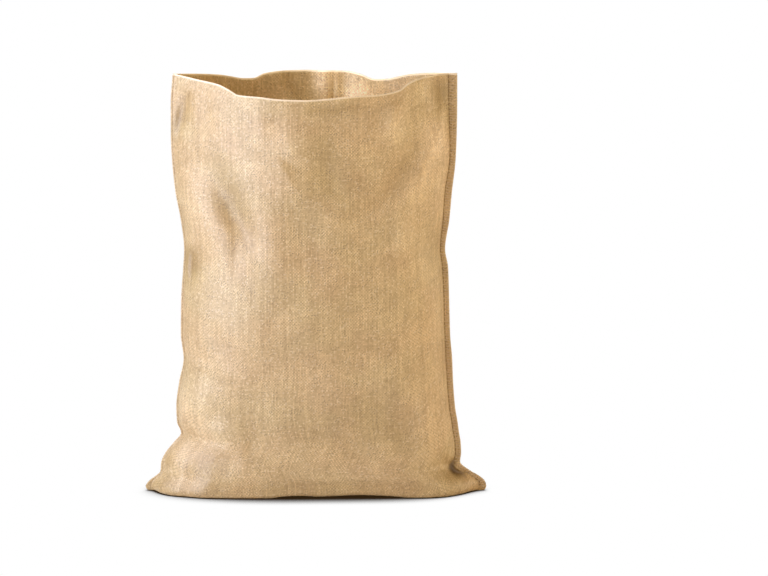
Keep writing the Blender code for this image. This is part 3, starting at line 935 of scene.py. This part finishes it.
def pinholes(net, warp_at, weft_at, looseness):
    """How open the weave is at the corners between yarns. Holes are larger where it is loose."""
    beside = [net.add(place, 0.5) for place in (warp_at, weft_at)]
    squares = [net.math("POWER", net.minus(net.math("FRACT", place), 0.5), 2.0) for place in beside]
    away = net.math("SQRT", net.add(*squares))
    radius = net.remap(net.random_cell(*beside), 0.50, 1.0, *HOLE_RADIUS)
    radius = net.add(radius, net.times(looseness, HOLE_LOOSE))
    return net.remap(net.minus(away, radius), -HOLE_EDGE, HOLE_EDGE, 1.0, 0.0)


def burlap_material():
    """Plain-woven raw jute: uneven yarns over and under each other, dry, hairy and dull."""
    net = Net(bpy.data.materials.new("burlap_weave"))
    around, up, _ = net.split(net.node("UVMap", uv_map="cloth").outputs["UV"])

    def patches(layer, scale, detail=2.0, roughness=0.5):
        return net.noise(net.vector(around, up, layer), scale, detail, roughness)

    def yarn_places(along, layer, pitch):
        return net.math("DIVIDE", net.add(along, net.times(patches(layer, 12.0), YARN_WANDER)), pitch)

    def rising(yarns, sign, cross, turn):
        over = net.times(net.math("SINE", net.times(cross, turn)), sign)
        return net.times(net.add(net.times(over, 0.5), 1.0), yarns)

    warp_at = yarn_places(around, 0.0, WARP_PITCH)
    weft_at = yarn_places(up, 5.0, WEFT_PITCH)
    warp, warp_sign, warp_own, warp_slub = yarn_set(net, warp_at, weft_at, WARP_SLUB, 0.5)
    weft, weft_sign, _, weft_slub = yarn_set(net, weft_at, warp_at, WEFT_SLUB, 900.5)
    warp_height = rising(warp, warp_sign, weft_at, math.pi)
    weft_height = rising(weft, weft_sign, warp_at, -math.pi)
    height = net.math("MAXIMUM", warp_height, weft_height)
    warp_shows = net.math("GREATER_THAN", warp_height, weft_height)

    off_middle = net.math("ABSOLUTE", net.minus(around, CLOTH_WIDTH / 2.0))
    seam = net.remap(off_middle, *SEAM_LINE)
    looseness = net.add(net.remap(patches(3.0, 30.0), 0.40, 0.62), net.times(seam, LOOSE_SEAM))
    cells = net.random_cell(warp_at, weft_at)
    parts = (warp_own, warp_slub, weft_slub, patches(9.0, 9.0, 3.0, 0.55), cells)
    *parts, cells = [net.times(part, share) for part, share in zip(parts, SHADE_SHARES)]
    # Painted light on the warp where it lies on top of the weft
    warp_light = net.remap(patches(7.0, 16.0), 0.42, 0.62, *WARP_PAINTED_LIGHT)
    shade = net.add(*parts, net.times(warp_shows, warp_light), cells)
    colour = net.mix(net.minus(shade, SHADE_FLOOR, clamp=True), DARK_JUTE, LIGHT_JUTE)
    tone = net.remap(patches(13.0, 8.0), 0.36, 0.64)
    colour = net.tint(colour, net.mix(tone, OLIVE_TONE, ROSY_TONE))
    colour = net.tint(colour, SEAM_TINT, net.times(seam, SEAM_SHARE))
    fleck = net.remap(net.random_cell(net.add(warp_at, 400.0), weft_at), *FLECKS)
    colour = net.mix(net.times(fleck, FLECK_SHARE), colour, PALE_JUTE)
    # A painted highlight along the mouth's cut edge, where no pinholes show
    rim = net.remap(up, *RIM_HIGHLIGHT_LINE)
    colour = net.mix(rim, colour, RIM_HIGHLIGHT)
    colour = net.mix(net.remap(height, *GAP_HEIGHT, 1.0, 0.0), colour, GAP_SHADE)
    hole = net.times(pinholes(net, warp_at, weft_at, looseness), net.minus(1.0, rim))
    colour = net.mix(net.times(hole, HOLE_SHARE), colour, GAP_SHADE)
    # Painted shade in the creases, the seam's valley and the foot, and painted light on the ridges
    shade_depth = net.attribute("painted_shade")
    painted_shade_colour = net.vector(*(net.math("EXPONENT", net.times(shade_depth, -rate)) for rate in PAINTED_SHADE_RATES))
    colour = net.tint(colour, painted_shade_colour)
    # Painted shade tints the inner face yellower
    colour = net.mix(net.attribute("inside"), colour, net.tint(colour, INNER_SHADE_TINT))
    return net.finish(colour, height, strength=0.3, distance=0.0004, Roughness=0.52, IOR=1.65,
                      Specular_IOR_Level=1.0, Sheen_Weight=0.08, Sheen_Roughness=0.6, Sheen_Tint=SHEEN)


TWIST_PITCH = 0.0016  # from one band of a twine's twist to the next


def twine_material(name, dark, light):
    """Twisted twine: bands of shade that wind around it, and loose fibres."""
    net = Net(bpy.data.materials.new(name))
    place = net.node("TexCoord").outputs["Object"]
    x, y, z = net.split(place)
    twist = net.math("SINE", net.times(net.add(x, net.add(y, z)), 2.0 * math.pi / TWIST_PITCH))
    shade = net.add(net.times(twist, 0.25), net.noise(place, 900.0, 3.0, 0.6))
    colour = net.mix(net.remap(shade, 0.15, 0.95), dark, light)
    return net.finish(colour, twist, strength=0.5, distance=0.0003, Roughness=0.65)


PALE_TWINE = (0.58, 0.43, 0.27, 1.0), (0.80, 0.67, 0.50, 1.0)
BROWN_TWINE = (0.22, 0.13, 0.06, 1.0), (0.42, 0.28, 0.14, 1.0)
CONTACT_REACH = 0.085  # how far the painted contact shadow reaches around the sack
CONTACT_RANGE = (0.40, 0.93)  # openness of the floor between which that fades out
CONTACT_SHADE = (0.030, 0.016, 0.006, 1.0)
WHITE = (1.0, 1.0, 1.0, 1.0)
FLOOR_PAINT = (0.86, 0.84, 0.77, 1.0)
FLOOR_HALF = 30.0
FLOOR_SINK = 0.0005  # the floor lies this far under the cloth


def floor_material():
    """White studio floor. It throws light back at the sack. Seen directly it is a painted glow, as white as
    the studio, with a painted contact shadow only where the sack nearly touches it."""
    net = Net(bpy.data.materials.new("studio_floor"))
    net.fill(net.shader, {"Base Color": FLOOR_PAINT, "Roughness": 0.9, "Specular IOR Level": 0.1})
    # Seen directly: a painted glow, with a painted contact shadow from how open the floor is
    corner = net.node("AmbientOcclusion", {"Distance": CONTACT_REACH}, samples=24).outputs["AO"]
    clear = net.remap(corner, *CONTACT_RANGE)
    glow = net.node("Emission", {"Color": net.mix(clear, CONTACT_SHADE, WHITE)}).outputs[0]
    seen = net.node("LightPath").outputs["Is Camera Ray"]
    surface = net.node("MixShader", {"Fac": seen, 1: net.shader.outputs[0], 2: glow}).outputs[0]
    net.fill(net.tree.nodes["Material Output"], {"Surface": surface})
    return net.owner


# ---- Pieces

columns, outer, normals, around, up, shade_depths = build_grid()
inner = inner_grid(columns, outer, normals)
sack = add_piece("cloth", sheet_mesh("cloth", outer, inner, around, up, shade_depths), burlap_material())

floor_data = bpy.data.meshes.new("floor")
floor_corners = [(x * FLOOR_HALF, y * FLOOR_HALF, 0.0) for x, y in ((-1, -1), (1, -1), (1, 1), (-1, 1))]
floor_data.from_pydata(floor_corners, [], [(0, 1, 2, 3)])
floor = add_piece("floor", floor_data, floor_material())
floor.location.z = -FLOOR_SINK

edge, inward, width = seam_line()
whip_threads = [tube(overedge(edge, inward, width), WHIP)]
needle_threads = needle_row(edge, inward, width, -1.0) + needle_row(edge, inward, width, 1.0) + base_row()
whip = add_piece("overedge_twine", thread_mesh("overedge_twine", whip_threads),
                 twine_material("pale_twine", *PALE_TWINE))
needle = add_piece("needle_stitches", thread_mesh("needle_stitches", needle_threads),
                   twine_material("brown_twine", *BROWN_TWINE))

for piece in (sack, whip, needle):
    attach(piece, "root")
    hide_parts("bag_cloth")

# ---- Light and camera

TARGET = Vector((0.1335, -0.0034, 0.4003))
CAMERA_DISTANCE = 10.0
CAMERA_RISE = 8.5
VIEW_WIDTH = 768 * 0.00195  # what the picture spans at the sack
SENSOR = 36.0


def direction(azimuth, rise):
    """The way out from the sack, from two angles in degrees. Azimuth 0 is in front of it and 90 is
    on its right (+X)."""
    turn, rise = math.radians(azimuth), math.radians(rise)
    return Vector((math.cos(rise) * math.sin(turn), -math.cos(rise) * math.cos(turn), math.sin(rise)))


def add_facing(name, data, place, facing):
    """A camera or lamp at a place, which faces some way."""
    made = bpy.data.objects.new(name, data)
    made.location = place
    made.rotation_euler = facing.to_track_quat("-Z", "Y").to_euler()
    scene.collection.objects.link(made)
    return made


def add_camera():
    """A camera far in front of the sack, a little above it."""
    data = bpy.data.cameras.new("camera")
    data.sensor_width = SENSOR
    data.lens = SENSOR * CAMERA_DISTANCE / VIEW_WIDTH
    place = TARGET + direction(0.0, CAMERA_RISE) * CAMERA_DISTANCE
    scene.camera = add_facing("camera", data, place, TARGET - place)


Lamp = namedtuple("Lamp", "name azimuth rise power colour")
COOL = (0.98, 0.98, 1.10)
WARM = (1.0, 0.80, 0.55)
LAMPS = (
    Lamp("key_low", -55, 5, 17.5, COOL),
    Lamp("key", -80, 35, 18.2, COOL),
    Lamp("key_top", -70, 65, 12.4, COOL),
    Lamp("fill", 30, 35, 12.3, WARM),
    Lamp("fill_low", 55, 5, 6.8, WARM),
    Lamp("side_fill", 105, 5, 10.0, WARM),
    Lamp("back_top", 180, 65, 17.5, WARM),
)
WALL_LIGHT = 0.02  # how bright the studio's walls are for the sack, where 1 is how they look
LAMP_SIZE = 1.0
LAMP_DISTANCE = 2.0
LIT_POINT = Vector((0.0, 0.0, 0.42))


def add_lamp(lamp):
    """A soft box that faces the sack."""
    data = bpy.data.lights.new(lamp.name, "AREA")
    data.shape = "RECTANGLE"
    data.size = LAMP_SIZE
    data.size_y = LAMP_SIZE
    data.energy = lamp.power
    data.color = lamp.colour
    away = direction(lamp.azimuth, lamp.rise)
    add_facing(lamp.name, data, LIT_POINT + away * LAMP_DISTANCE, -away)


def add_world():
    """White studio walls, which look white but light the sack only a little."""
    net = Net(bpy.data.worlds.new("studio"), "Background")
    seen = net.node("LightPath").outputs["Is Camera Ray"]
    net.fill(net.shader, {"Color": WHITE, "Strength": net.remap(seen, 0.0, 1.0, WALL_LIGHT, 1.0)})
    scene.world = net.owner


add_camera()
for lamp in LAMPS:
    add_lamp(lamp)
add_world()
scene.view_settings.view_transform = "Standard"
